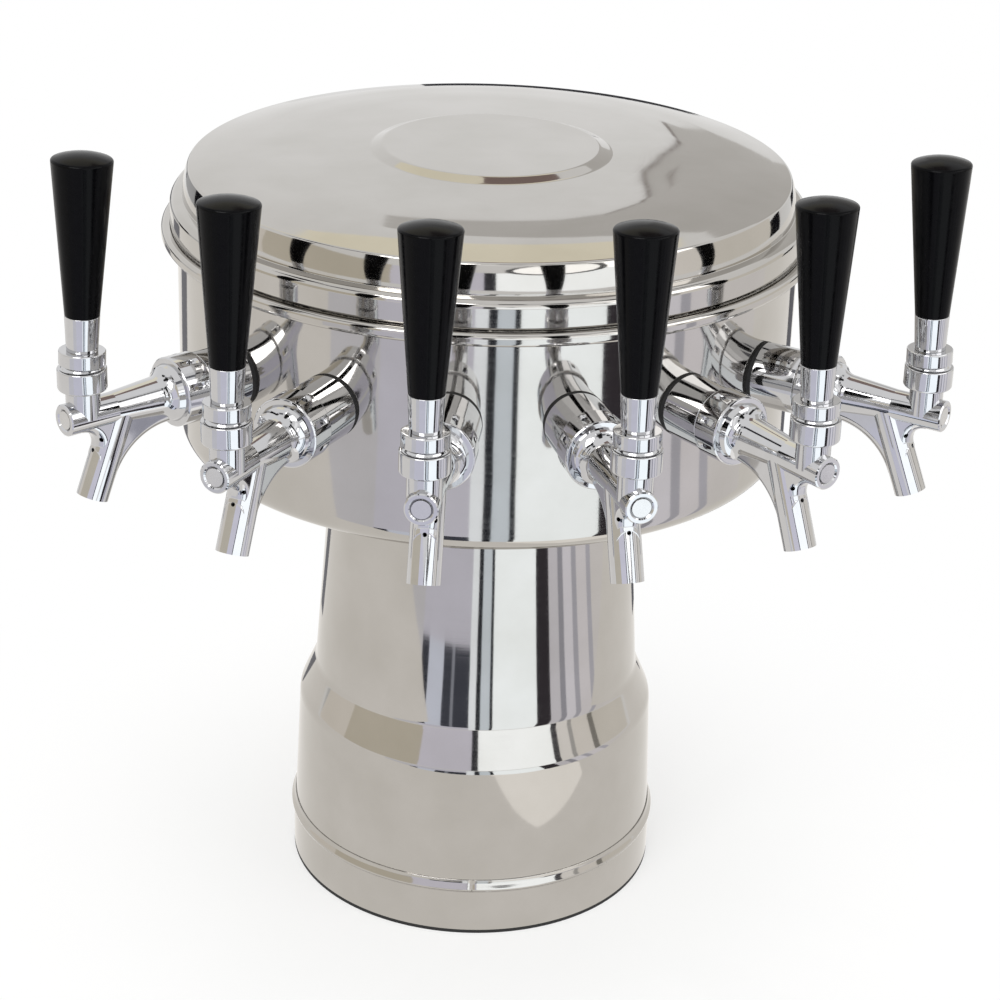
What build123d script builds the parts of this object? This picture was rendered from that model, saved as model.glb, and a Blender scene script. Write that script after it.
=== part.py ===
"""Six-tap beer tower: a sheet steel column carries a round head drum with a
lift-off lid, and six lever taps fan out from the front of the drum.

The origin is on the tower's axis, on the counter. +Z is up, -Y is the side
that the taps face. Every tap piece is modelled once, for a tap that points
along -Y, and turned about the tower's axis to its place in the fan.
"""

import os
from math import asin, cos, degrees, radians, sin, sqrt, tan

from build123d import *

os.makedirs("parts", exist_ok=True)

# ---------------------------------------------------------------- tower sizes
sheet = 1.5  # steel sheet of the column and the drum
gasket_thickness = 2.0  # rubber under the foot
skirt_radius = 107.3  # column, bottom
skirt_taper = 2.7
shoulder_step = 9.4  # how far the shoulder draws the column in
shoulder_low = 106.0  # heights where the shoulder starts and ends
shoulder_high = 127.0
shoulder_bend = 14.0
neck_taper = 9.0
neck_straight = 14.0  # straight stretch below the drum
neck_bend = 60.0
column_upstand = 9.0  # column above the drum floor

band_height = 28.0  # foot band below its bead
band_thickness = 1.2
bead_height = 7.6
bead_thickness = 2.7
bead_crest = 2.2  # thickest place of the bead above its lower edge
bead_lip = 0.6  # upper edge of the bead outside the skirt
bead_gap = 0.6  # butt joint of the rolled bead
bead_gap_turn = -4.2  # the joint, degrees from the front

ring_width = 35.8  # mounting ring inside the foot
ring_thickness = 8.0
bolt_inset = 20.8  # bolt circle inside the skirt
bolt_count = 4
bolt_hole_radius = 4.0  # M8
foam_clearance = 0.5  # foam sleeve inside the neck
foam_thickness = 15.3

# ----------------------------------------------------------------- head sizes
drum_radius = 171.3
drum_below = 73.2  # drum's underside below the taps
drum_above = 65.0  # drum wall above the taps
drum_edge = 12.0  # rounding between floor and wall
rim_step = 2.1  # wall steps out behind the bead
rim_bead_radius = 3.6  # rolled bead round the wall
rim_bead_drop = 16.8  # bead centre below the wall's upper edge
rim_bead_out = 3.0  # bead centre outside the stepped wall

lid_sheet = 1.2
lid_play = 0.5  # lid skirt round the drum wall
lid_hem_gap = 1.3  # shadow gap above the bead
lid_step_rise = 1.4
lid_step_in = 6.9
lid_crown_rise = 17.7  # lid's crown edge above the wall's upper edge
lid_crown_bend = 8.0
dome_rise = 7.2
dome_bend = 600.0
panel_radius = 66.0  # raised centre of the lid
panel_rise = 2.4
panel_slope = 5.0
panel_bend = 3.0
dome_crest = 2.4
hem_bend = 1.6
lid_stop = 2.6  # lip inside the lid that rests on the wall
lid_stop_thickness = 1.8

# ------------------------------------------------------------------ tap sizes
tap_count = 6
tap_pitch = 21.6  # degrees between taps
tap_height = 346.0  # tap axis above the counter
tap_length = 92.7  # lever axis to drum wall
gasket_wall = 1.5  # rubber between collar and drum wall

shank_radius = 11.1  # 7/8 inch thread
shank_bore = 3.2
shank_inside = 57.0  # drum wall to the shank's inner end
shank_hole_clearance = 0.3
collar_radius = 17.0
collar_length = 24.2
collar_edge = 0.5
head_radius = 13.8  # flange on the shank's outer end
head_thickness = 3.0
washer_thickness = 1.6  # coupling washer
washer_hole = 7.2

nut_radius = 18.2  # coupling nut
nut_gap = 0.3  # nut to collar
nut_lip = 3.7
nut_length = 15.7
nut_edge = 0.7
thread_clearance = 0.1
spanner_holes = 8
spanner_hole_radius = 1.6
spanner_hole_depth = 2.6

lock_washer_radius = 18.0
lock_washer_thickness = 2.0
lock_nut_flats = 32.0
lock_nut_thickness = 7.0
tail_nut_flats = 27.0
tail_nut_length = 16.0
tail_nut_overlap = 6.0

# Tap body, measured along the tap from the end of the coupling nut
body_thread_radius = 14.3
bell_radius = 15.2
bell_length = 3.2
bell_taper = 1.0
flare_length = 6.5
neck_start_radius = 10.2
neck_length = 25.0
barrel_radius = 8.2
barrel_nose = 11.5  # barrel past the lever axis
barrel_chamfer = 0.6
chamber_radius = 7.5
chamber_length = 16.5
bore_radius = 4.8
nose_bevel = 1.2  # bevel round the bore in the nose

spout_lean = 22.0  # spout from upright, degrees
spout_back_set = 3.0  # spout mouth centre behind the lever axis
spout_drop = 45.3  # spout mouth below the tap axis
spout_radius = 8.2
spout_bore = 6.2
spout_bore_length = 38.0
passage_radius = 3.8  # from the bore into the spout
vent_radius = 1.1
vent_height = 31.0  # vents above the mouth, along the spout
vent_step = 7.0
vent_turn = 30.0
throat_radius = 8.0  # hollow curve between barrel and spout
web_thickness = 12.0
web_edge = 4.6
web_step = 0.8  # web starts this far inside the bell
web_drop = 36.4  # where the web runs out on the spout

boss_radius = 8.6  # upright neck under the bonnet
boss_height = 14.0
bonnet_thread_radius = 9.4
ball_height = 20.0  # ball centre above the tap axis
ball_radius = 6.2
socket_clearance = 0.1
socket_top = 22.0
arm_slot_back = 9.6  # slot below the ball, behind and before its centre
arm_slot_front = 4.2

bonnet_bottom = 14.6
bonnet_radius = 12.4
bonnet_edge = 1.3
bonnet_dome_radius = 12.4  # dome about the ball centre
bonnet_dome_foot = 25.9  # heights where the dome starts and ends
bonnet_dome_top = 29.5
bonnet_throat_radius = 5.8
bonnet_throat = 0.8

ball_washer_thickness = 1.6

# Lever, measured from the ball centre along the lever
lever_lean = 2.5  # shut lever leans back, degrees
stem_radius = 3.0
stem_length = 45.0
arm_radius = 1.8
arm_tip_radius = 2.2
cup_radius = 11.7  # lever collar, hollow over the bonnet
cup_bottom = 8.0
cup_top = 15.0
cup_edge = 0.6
cup_gap = 1.3  # collar to the bonnet's dome
ferrule_radius = 7.9
ferrule_top_radius = 8.8
ferrule_length = 18.0
knob_bottom_radius = 8.7
knob_radius = 15.2
knob_length = 78.6
knob_edge = 1.5
knob_crown = 3.0

# Plunger: the shaft that the lever's arm pushes
guide_clearance = 0.08
guide_radius = bore_radius - guide_clearance
guide_length = 18.1
guide_recess = 0.4  # plunger end behind the barrel's face
rod_radius = 2.4
slot_clearance = 0.4
slot_floor = -2.8
slot_flare = 1.4
seat_radius = 6.9
seat_gap = 0.3
seat_length = 3.7  # cylindrical part
seat_back_radius = 6.3
plunger_head = 2.0

# ---------------------------------------------------------- tubes in the head
line_radius = 4.76  # 3/8 inch tube
line_wall = 0.9
line_bend = 28.0
line_gap = 4.0  # between the lines and the foam sleeve
line_end = 6.0  # tube ends above the counter
cooling_setback = 31.0  # drum wall to the cooling run over the shanks
cooling_overrun = 20.0  # degrees past the last tap
cooling_leg_turn = 26.6  # degrees behind the sides
cooling_bend = 24.0

# ------------------------------------------------- places that follow from them
neck_base_radius = skirt_radius - skirt_taper - shoulder_step
neck_radius = neck_base_radius - neck_taper  # where the column carries the drum
ring_outer_radius = skirt_radius - sheet
ring_inner_radius = ring_outer_radius - ring_width
bolt_circle_radius = ring_outer_radius - bolt_inset
foam_radius = neck_radius - sheet - foam_clearance
drum_floor = tap_height - drum_below
drum_top = tap_height + drum_above
rim_radius = drum_radius + rim_step
rim_bead_height = drum_top - rim_bead_drop
tap_reach = drum_radius + tap_length
barrel_end = tap_reach + barrel_nose
shank_tail = drum_radius - shank_inside
line_circle = foam_radius - foam_thickness - line_gap - 2 * line_radius
tap_turns = [tap_pitch * (n - (tap_count - 1) / 2) for n in range(tap_count)]
tap_places = [Location((0, 0, 0), (0, 0, turn)) for turn in tap_turns]
tap_axis = Axis((0, 0, tap_height), (0, -1, 0))
tap_side = Plane(origin=(0, 0, tap_height), x_dir=(0, -1, 0), z_dir=(-1, 0, 0))

collar_start = drum_radius + gasket_wall
collar_end = collar_start + collar_length
nut_start = collar_end + nut_gap
head_start = nut_start + nut_lip
washer_start = head_start + head_thickness
body_start = washer_start + washer_thickness
nut_end = nut_start + nut_length

lean = radians(lever_lean)
ball_centre = Vector(0, -tap_reach, tap_height + ball_height)
lever_up = Vector(0, sin(lean), cos(lean))
lever_axis = Axis(ball_centre, lever_up)
lever_side = Plane(origin=ball_centre, x_dir=(1, 0, 0), z_dir=(0, -cos(lean), sin(lean)))


def across_tap(distance):
    """A plane square to the tap, at a distance from the tower axis."""
    return Plane(origin=(0, -distance, tap_height), x_dir=(1, 0, 0), z_dir=(0, -1, 0))


def write(piece, name):
    piece.part.label = name
    export_step(piece.part, f"parts/{name}.step")


def write_each_tap(name, *pieces):
    """One file for each tap's own copy of the piece, or of a set of pieces."""
    for number, turn in enumerate(tap_turns, start=1):
        copy = Part([piece.part.solid().rotate(Axis.Z, turn) for piece in pieces])
        copy.label = f"tap{number}_{name}"
        export_step(copy, f"parts/{copy.label}.step")


def write_fan(piece, name):
    """One file with the copies for all taps, as separate solids."""
    with BuildPart() as fan:
        with Locations(*tap_places):
            add(piece.part)
    write(fan, name)


# ----------------------------------------------------------------------- foot
with BuildPart() as mounting_ring:
    with BuildSketch(Plane.XY.offset(gasket_thickness)):
        Circle(ring_outer_radius)
        Circle(ring_inner_radius, mode=Mode.SUBTRACT)
        with PolarLocations(bolt_circle_radius, bolt_count, start_angle=45):
            Circle(bolt_hole_radius, mode=Mode.SUBTRACT)
    extrude(amount=ring_thickness)
write(mounting_ring, "mounting_ring")

with BuildPart() as base_gasket:
    with BuildSketch():
        Circle(skirt_radius + band_thickness)
        Circle(ring_inner_radius, mode=Mode.SUBTRACT)
        with PolarLocations(bolt_circle_radius, bolt_count, start_angle=45):
            Circle(bolt_hole_radius, mode=Mode.SUBTRACT)
    extrude(amount=gasket_thickness)
write(base_gasket, "base_gasket")

band_top = band_height + bead_height
with BuildPart() as foot_band:
    with BuildSketch(Plane.XZ):
        with BuildLine():
            band = Polyline(
                (skirt_radius, band_top),
                (skirt_radius, gasket_thickness),
                (skirt_radius + band_thickness, gasket_thickness),
                (skirt_radius + band_thickness, band_height),
            )
            bead = Spline(
                band @ 1,
                (skirt_radius + bead_thickness, band_height + bead_crest),
                (skirt_radius + bead_lip, band_top),
                tangents=((1, 0), (0, 1)),
            )
            Line(bead @ 1, band @ 0)
        make_face()
    revolve(axis=Axis.Z)
    with Locations(Location((0, 0, band_height), (0, 0, bead_gap_turn))):
        Box(
            bead_gap,
            skirt_radius + 2 * bead_thickness,
            2 * bead_height,
            align=(Align.CENTER, Align.MAX, Align.MIN),
            mode=Mode.SUBTRACT,
        )
write(foot_band, "foot_band")

# --------------------------------------------------------------------- column
column_top = drum_floor + sheet + column_upstand
with BuildPart() as column:
    with BuildSketch(Plane.XZ):
        with BuildLine():
            FilletPolyline(
                (skirt_radius, gasket_thickness),
                (skirt_radius, band_top),
                (skirt_radius - skirt_taper, shoulder_low),
                (neck_base_radius, shoulder_high),
                (neck_radius, drum_floor - neck_straight),
                (neck_radius, column_top),
                radius=(neck_bend, shoulder_bend, shoulder_bend, neck_bend),
            )
            offset(amount=sheet, side=Side.LEFT)
        make_face()
    revolve(axis=Axis.Z)
write(column, "column")

with BuildPart() as foam_sleeve:
    with BuildSketch(Plane.XY.offset(gasket_thickness + ring_thickness)):
        Circle(foam_radius)
        Circle(foam_radius - foam_thickness, mode=Mode.SUBTRACT)
    extrude(amount=column_top - gasket_thickness - ring_thickness)
write(foam_sleeve, "foam_sleeve")

# ------------------------------------------------------------------- the head
with BuildPart() as head_drum:
    with BuildSketch(Plane.XZ):
        with BuildLine():
            FilletPolyline(
                (neck_radius, drum_floor),
                (drum_radius, drum_floor),
                (drum_radius, rim_bead_height - rim_step),
                (rim_radius, rim_bead_height),
                (rim_radius, drum_top),
                radius=(drum_edge, rim_step, rim_step),
            )
            offset(amount=sheet, side=Side.LEFT)
        make_face()
        with Locations((rim_radius + rim_bead_out, rim_bead_height)):
            Circle(rim_bead_radius)
    revolve(axis=Axis.Z)
    with Locations(*tap_places):
        with Locations(across_tap(drum_radius).location):
            Cylinder(shank_radius + shank_hole_clearance, 8 * sheet, mode=Mode.SUBTRACT)
write(head_drum, "head_drum")

skirt_out = rim_radius + lid_play + lid_sheet
lid_hem = rim_bead_height + rim_bead_radius + lid_hem_gap
lid_step = drum_top + lid_sheet
lid_upper_radius = skirt_out - lid_step_in
lid_crown = drum_top + lid_crown_rise
lid_dome = lid_crown + dome_rise
lid_panel = lid_dome + dome_crest
with BuildPart() as lid:
    with BuildSketch(Plane.XZ):
        with BuildLine():
            FilletPolyline(
                (skirt_out, lid_hem),
                (skirt_out, lid_step),
                (lid_upper_radius, lid_step + lid_step_rise),
                (lid_upper_radius, lid_crown),
                ((lid_upper_radius + panel_radius) / 2, lid_dome),
                (panel_radius, lid_panel),
                (panel_radius - panel_slope, lid_panel + panel_rise),
                (0, lid_panel + panel_rise),
                radius=(hem_bend, hem_bend, lid_crown_bend, dome_bend, panel_bend, panel_bend),
            )
            offset(amount=lid_sheet, side=Side.LEFT)
        make_face()
        with Locations((rim_radius + lid_play, drum_top)):
            Rectangle(lid_stop, lid_stop_thickness, align=(Align.MAX, Align.MIN))
    revolve(axis=Axis.Z)
write(lid, "lid")

# --------------------------------------------------- shanks through the drum wall
with BuildPart() as shank:
    with BuildSketch(tap_side):
        with BuildLine():
            Polyline(
                (shank_tail, shank_bore),
                (shank_tail, shank_radius),
                (head_start, shank_radius),
                (head_start, head_radius),
                (washer_start, head_radius),
                (washer_start, shank_bore),
                close=True,
            )
        make_face()
    revolve(axis=tap_axis)
write_each_tap("shank", shank)

with BuildPart() as wall_gasket:
    with BuildSketch(across_tap(collar_start)):
        Circle(collar_radius)
        Circle(shank_radius, mode=Mode.SUBTRACT)
    extrude(amount=-gasket_wall - collar_radius**2 / drum_radius)
    Cylinder(drum_radius, drum_top, align=(Align.CENTER, Align.CENTER, Align.MIN), mode=Mode.SUBTRACT)
write_fan(wall_gasket, "wall_gaskets")

with BuildPart() as shank_collar:
    with BuildSketch(across_tap(collar_start)):
        Circle(collar_radius)
    extrude(amount=collar_length)
    chamfer(shank_collar.faces().sort_by(Axis.Y)[0].edges(), collar_edge)
    with BuildSketch(across_tap(collar_start)):
        Circle(shank_radius)
    extrude(amount=collar_length, mode=Mode.SUBTRACT)
write_fan(shank_collar, "shank_collars")

# The flat washer bears on the curved wall along its own edge
wall_inside = sqrt((drum_radius - sheet) ** 2 - lock_washer_radius**2)
with BuildPart() as lock_washer:
    with BuildSketch(across_tap(wall_inside)):
        Circle(lock_washer_radius)
        Circle(shank_radius, mode=Mode.SUBTRACT)
    extrude(amount=-lock_washer_thickness)
write_fan(lock_washer, "lock_washers")

with BuildPart() as lock_nut:
    with BuildSketch(across_tap(wall_inside - lock_washer_thickness)):
        RegularPolygon(lock_nut_flats / 2, 6, major_radius=False)
        Circle(shank_radius, mode=Mode.SUBTRACT)
    extrude(amount=-lock_nut_thickness)
write_fan(lock_nut, "lock_nuts")

with BuildPart() as tail_nut:
    with BuildSketch(across_tap(shank_tail + tail_nut_overlap)):
        RegularPolygon(tail_nut_flats / 2, 6, major_radius=False)
    extrude(amount=-tail_nut_length)
    with BuildSketch(across_tap(shank_tail)):
        Circle(shank_radius)
    extrude(amount=tail_nut_overlap, mode=Mode.SUBTRACT)
    with BuildSketch(across_tap(shank_tail)):
        Circle(line_radius)
    extrude(amount=-tail_nut_length, mode=Mode.SUBTRACT)
write_fan(tail_nut, "tail_nuts")

with BuildPart() as coupling_washer:
    with BuildSketch(across_tap(washer_start)):
        Circle(head_radius)
        Circle(washer_hole, mode=Mode.SUBTRACT)
    extrude(amount=washer_thickness)
write_fan(coupling_washer, "coupling_washers")

with BuildPart() as coupling_nut:
    with BuildSketch(across_tap(nut_start)):
        Circle(nut_radius)
    extrude(amount=nut_length)
    chamfer(coupling_nut.edges(), nut_edge)
    with BuildSketch(across_tap(nut_start)):
        Circle(shank_radius + thread_clearance)
    extrude(amount=nut_lip, mode=Mode.SUBTRACT)
    with BuildSketch(across_tap(head_start)):
        Circle(body_thread_radius + thread_clearance)
    extrude(amount=nut_length, mode=Mode.SUBTRACT)
    with Locations(across_tap(nut_start + nut_length / 2).location):
        with PolarLocations(nut_radius, spanner_holes, start_angle=180 / spanner_holes):
            Cylinder(
                spanner_hole_radius,
                2 * spanner_hole_depth,
                rotation=(0, 90, 0),
                mode=Mode.SUBTRACT,
            )
write_fan(coupling_nut, "coupling_nuts")

# ------------------------------------------------------------------- tap body
bell_start = nut_end
neck_start = bell_start + bell_length + flare_length
neck_end = neck_start + neck_length
chamber_end = body_start + chamber_length
cone_end = chamber_end + chamber_radius - bore_radius
spout_slope = radians(spout_lean)
spout_up = Vector(0, sin(spout_slope), cos(spout_slope))
spout_reach = tap_reach - spout_back_set
spout_mouth = Vector(0, -spout_reach, tap_height - spout_drop)
spout_plane = Plane(origin=spout_mouth, x_dir=(1, 0, 0), z_dir=spout_up)
spout_length = spout_drop / cos(spout_slope)
spout_root = spout_reach - spout_drop * tan(spout_slope)
web_start = bell_start + bell_length
web_root = bell_radius - web_step
web_end = spout_root + web_drop * tan(spout_slope) - spout_radius / cos(spout_slope)
throat_corner = spout_root + barrel_radius * tan(spout_slope) + spout_radius / cos(spout_slope)
throat_reach = throat_radius / tan(radians(90 - spout_lean) / 2)
throat_foot = (
    throat_corner + throat_reach * sin(spout_slope),
    -barrel_radius - throat_reach * cos(spout_slope),
)
boss_plane = Plane(origin=(0, -tap_reach, tap_height))
boss_side = Plane(origin=(0, -tap_reach, tap_height), x_dir=(1, 0, 0), z_dir=(0, -1, 0))
boss_axis = Axis((0, -tap_reach, tap_height), (0, 0, 1))
washer_top = socket_top + ball_washer_thickness

with BuildPart() as tap_body:
    # web behind and before the spout, rounded along its two hollow edges
    with BuildSketch(tap_side):
        with BuildLine():
            swept = TangentArc(
                (web_end, -web_drop),
                (web_start, -web_root),
                tangent=(-sin(spout_slope), cos(spout_slope)),
            )
            throat = TangentArc(
                throat_foot,
                (throat_corner + throat_reach, -barrel_radius),
                tangent=(-sin(spout_slope), cos(spout_slope)),
            )
            Polyline(swept @ 1, (web_start, 0), (throat_corner + throat_reach, 0), throat @ 1)
            Polyline(
                throat @ 0,
                (spout_root + web_drop * tan(spout_slope), -web_drop),
                swept @ 0,
            )
        make_face()
    extrude(amount=web_thickness / 2, both=True)
    fillet(tap_body.edges().filter_by(GeomType.CIRCLE), web_edge)
    # threaded end, bell, neck and barrel
    with BuildSketch(tap_side):
        with BuildLine():
            rear = Polyline(
                (barrel_end, 0),
                (body_start, 0),
                (body_start, body_thread_radius),
                (bell_start, body_thread_radius),
                (bell_start, bell_radius),
                (bell_start + bell_length, bell_radius - bell_taper),
            )
            flare = TangentArc(
                (neck_start, neck_start_radius),
                rear @ 1,
                tangent=(-neck_length, neck_start_radius - barrel_radius),
            )
            Polyline(
                flare @ 0,
                (neck_end, barrel_radius),
                (barrel_end - barrel_chamfer, barrel_radius),
                (barrel_end, barrel_radius - barrel_chamfer),
                (barrel_end, 0),
            )
        make_face()
    revolve(axis=tap_axis)
    with BuildSketch(spout_plane):
        Circle(spout_radius)
    extrude(amount=spout_length)
    with BuildSketch(boss_plane):
        Circle(boss_radius)
    extrude(amount=boss_height)
    with BuildSketch(boss_plane.offset(boss_height)):
        Circle(bonnet_thread_radius)
    extrude(amount=socket_top - boss_height)
    # chamber, valve seat and bore
    with BuildSketch(tap_side):
        with BuildLine():
            Polyline(
                (body_start, 0),
                (body_start, chamber_radius),
                (chamber_end, chamber_radius),
                (cone_end, bore_radius),
                (barrel_end - nose_bevel, bore_radius),
                (barrel_end, bore_radius + nose_bevel),
                (barrel_end, 0),
                close=True,
            )
        make_face()
    revolve(axis=tap_axis, mode=Mode.SUBTRACT)
    with BuildSketch(spout_plane):
        Circle(spout_bore)
    extrude(amount=spout_bore_length, mode=Mode.SUBTRACT)
    with BuildSketch(spout_plane):
        Circle(passage_radius)
    extrude(amount=spout_length, mode=Mode.SUBTRACT)
    with Locations(spout_plane.offset(vent_height).location):
        with PolarLocations(spout_radius, 2, -90 - vent_turn, 4 * vent_turn):
            Cylinder(vent_radius, spout_radius, rotation=(0, 90, 0), mode=Mode.SUBTRACT)
    with Locations(spout_plane.offset(vent_height - vent_step).location):
        with Locations(Location((0, -spout_radius, 0), (90, 0, 0))):
            Cylinder(vent_radius, spout_radius, mode=Mode.SUBTRACT)
    # ball socket and the slot that the lever's arm swings in
    with Locations(ball_centre):
        Sphere(ball_radius + socket_clearance, mode=Mode.SUBTRACT)
    with BuildSketch(tap_side):
        with BuildLine():
            Polyline(
                (tap_reach - arm_slot_back, bore_radius / 2),
                (tap_reach + arm_slot_front, bore_radius / 2),
                (tap_reach + arm_slot_front, ball_height),
                (tap_reach - arm_slot_front, ball_height),
                close=True,
            )
        make_face()
    extrude(amount=arm_tip_radius + slot_clearance, both=True, mode=Mode.SUBTRACT)
write_each_tap("body", tap_body)

dome_low = degrees(asin((bonnet_dome_foot - ball_height) / bonnet_dome_radius))
dome_high = degrees(asin((bonnet_dome_top - ball_height) / bonnet_dome_radius))
with BuildPart() as bonnet:
    with BuildSketch(boss_side):
        with BuildLine():
            dome = CenterArc((0, ball_height), bonnet_dome_radius, dome_low, dome_high - dome_low)
            Polyline(
                dome @ 1,
                (bonnet_throat_radius, washer_top + bonnet_throat),
                (bonnet_throat_radius, washer_top),
                (bonnet_thread_radius, washer_top),
                (bonnet_thread_radius, bonnet_bottom),
                (bonnet_radius, bonnet_bottom),
                (bonnet_radius, bonnet_dome_foot),
                dome @ 0,
            )
        make_face()
    revolve(axis=boss_axis)
    fillet(bonnet.edges().group_by(SortBy.LENGTH)[-1], bonnet_edge)
write_fan(bonnet, "bonnets")

with BuildPart() as ball_washer:
    with BuildSketch(boss_plane.offset(socket_top)):
        Circle(bonnet_thread_radius)
    extrude(amount=ball_washer_thickness)
    with Locations(ball_centre):
        Sphere(ball_radius + socket_clearance, mode=Mode.SUBTRACT)
write_fan(ball_washer, "ball_washers")

# ---------------------------------------------------------------------- lever
ferrule_top = cup_top + ferrule_length
knob_top = ferrule_top + knob_length
cup_hollow = bonnet_dome_radius + cup_gap

with BuildPart(Plane(origin=ball_centre, x_dir=(1, 0, 0), z_dir=lever_up)) as lever:
    Sphere(ball_radius)
    Cylinder(stem_radius, stem_length, align=(Align.CENTER, Align.CENTER, Align.MIN))
    Cylinder(arm_radius, ball_height, align=(Align.CENTER, Align.CENTER, Align.MAX))
    with Locations((0, 0, -ball_height)):
        Sphere(arm_tip_radius)
write_each_tap("lever", lever)

# lever collar, cupped over the bonnet's dome, and the ferrule that stands on it
with BuildPart() as lever_collar:
    with BuildSketch(lever_side):
        with BuildLine():
            Polyline(
                (stem_radius, 0),
                (cup_radius, 0),
                (cup_radius, cup_top - cup_edge),
                (cup_radius - cup_edge, cup_top),
                (stem_radius, cup_top),
                close=True,
            )
        make_face()
        with BuildLine():
            Polyline((0, 0), (cup_hollow, 0), (cup_hollow, cup_bottom), (0, cup_bottom), close=True)
        make_face(mode=Mode.SUBTRACT)
        Circle(cup_hollow, mode=Mode.SUBTRACT)
    revolve(axis=lever_axis)

with BuildPart() as ferrule:
    with BuildSketch(lever_side):
        with BuildLine():
            Polyline(
                (stem_radius, cup_top),
                (ferrule_radius, cup_top),
                (ferrule_top_radius, ferrule_top),
                (stem_radius, ferrule_top),
                close=True,
            )
        make_face()
    revolve(axis=lever_axis)
write_each_tap("ferrule", lever_collar, ferrule)

with BuildPart() as knob:
    with BuildSketch(lever_side):
        with BuildLine():
            side = Polyline(
                (0, stem_length),
                (stem_radius, stem_length),
                (stem_radius, ferrule_top),
                (knob_bottom_radius, ferrule_top),
                (knob_radius, knob_top),
            )
            crown = TangentArc((0, knob_top + knob_crown), side @ 1, tangent=(1, 0))
            Line(crown @ 0, side @ 0)
        make_face()
    revolve(axis=lever_axis)
    rims = knob.edges().filter_by(lambda edge: edge.is_closed).sort_by(SortBy.LENGTH)
    fillet(rims[-1], knob_edge)
write_each_tap("knob", knob)

# -------------------------------------------------------------------- plunger
arm_reach = tap_reach + ball_height * sin(lean)
slot_half = arm_tip_radius + slot_clearance
guide_end = barrel_end - guide_recess
seat_back = chamber_end - seat_length
seat_shift = seat_gap * sqrt(2)

with BuildPart() as plunger:
    with BuildSketch(tap_side):
        with BuildLine():
            Polyline(
                (seat_back - plunger_head, 0),
                (seat_back - plunger_head, seat_back_radius),
                (seat_back, seat_back_radius),
                (seat_back, rod_radius),
                (guide_end - guide_length, rod_radius),
                (guide_end - guide_length, guide_radius),
                (guide_end, guide_radius),
                (guide_end, 0),
                close=True,
            )
        make_face()
    revolve(axis=tap_axis)
    with BuildSketch(tap_side):
        with BuildLine():
            Polyline(
                (arm_reach - slot_half, slot_floor),
                (arm_reach + slot_half, slot_floor),
                (arm_reach + slot_half, 0),
                (arm_reach + slot_half + slot_flare, bore_radius),
                (arm_reach - slot_half - slot_flare, bore_radius),
                (arm_reach - slot_half, 0),
                close=True,
            )
        make_face()
    extrude(amount=slot_half, both=True, mode=Mode.SUBTRACT)
write_each_tap("plunger", plunger)

with BuildPart() as seat:
    with BuildSketch(tap_side):
        with BuildLine():
            Polyline(
                (seat_back, rod_radius),
                (seat_back, seat_back_radius),
                (chamber_end - seat_shift, seat_radius),
                (chamber_end + chamber_radius - seat_radius - seat_shift, seat_radius),
                (cone_end - seat_shift, bore_radius),
                (cone_end - seat_shift, rod_radius),
                close=True,
            )
        make_face()
    revolve(axis=tap_axis)
write_each_tap("seat", seat)

# -------------------------------------------------------- tubes inside the head
with BuildPart() as beer_line:
    with BuildLine() as line_path:
        FilletPolyline(
            (0, -shank_tail, tap_height),
            (0, -line_circle, tap_height),
            (0, -line_circle, line_end),
            radius=line_bend,
        )
    with BuildSketch(Plane(line_path.line @ 0, z_dir=line_path.line % 0)):
        Circle(line_radius)
        Circle(line_radius - line_wall, mode=Mode.SUBTRACT)
    sweep()
write_fan(beer_line, "beer_lines")

cooling_height = tap_height + shank_radius + line_radius
cooling_circle = drum_radius - cooling_setback
fan_edge = radians(tap_turns[-1] + cooling_overrun)
leg_turn = radians(cooling_leg_turn)
leg = Vector(line_circle * cos(leg_turn), line_circle * sin(leg_turn), cooling_height)
with BuildPart() as cooling_tube:
    with BuildLine() as cooling_path:
        corners = [
            Vector(0, -cooling_circle, cooling_height).rotate(Axis.Z, tap_pitch * turn)
            for turn in (-2, -1, 0, 1, 2)
        ]
        end = Vector(cooling_circle * sin(fan_edge), -cooling_circle * cos(fan_edge), cooling_height)
        FilletPolyline(
            (-leg.X, leg.Y, line_end),
            (-leg.X, leg.Y, leg.Z),
            (-end.X, end.Y, end.Z),
            *corners,
            end,
            leg,
            (leg.X, leg.Y, line_end),
            radius=cooling_bend,
        )
    with BuildSketch(Plane(cooling_path.line @ 0, z_dir=cooling_path.line % 0)):
        Circle(line_radius)
        Circle(line_radius - line_wall, mode=Mode.SUBTRACT)
    sweep()
write(cooling_tube, "cooling_tube")
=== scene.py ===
import math
import random

import bmesh
import bpy
from mathutils import Matrix, Vector


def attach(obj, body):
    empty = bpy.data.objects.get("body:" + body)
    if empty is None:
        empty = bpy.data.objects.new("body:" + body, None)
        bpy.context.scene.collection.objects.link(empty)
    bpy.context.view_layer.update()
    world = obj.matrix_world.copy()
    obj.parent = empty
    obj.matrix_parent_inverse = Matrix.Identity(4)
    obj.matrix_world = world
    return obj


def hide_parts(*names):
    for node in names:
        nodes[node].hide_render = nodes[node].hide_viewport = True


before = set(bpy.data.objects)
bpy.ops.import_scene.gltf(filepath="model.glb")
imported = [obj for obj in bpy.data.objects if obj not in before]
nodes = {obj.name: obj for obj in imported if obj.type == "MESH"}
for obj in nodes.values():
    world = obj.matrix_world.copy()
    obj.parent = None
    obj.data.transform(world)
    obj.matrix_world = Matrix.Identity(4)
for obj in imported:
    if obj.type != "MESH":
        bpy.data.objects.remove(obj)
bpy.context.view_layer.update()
mm = 0.001
print("frame loaded:", len(nodes), "nodes")


# materials
def hexColour(code):
    parts = [int(code[i:i + 2], 16) / 255 for i in (1, 3, 5)]
    linear = [c / 12.92 if c <= 0.04045 else ((c + 0.055) / 1.055) ** 2.4 for c in parts]
    return (*linear, 1.0)


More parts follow.
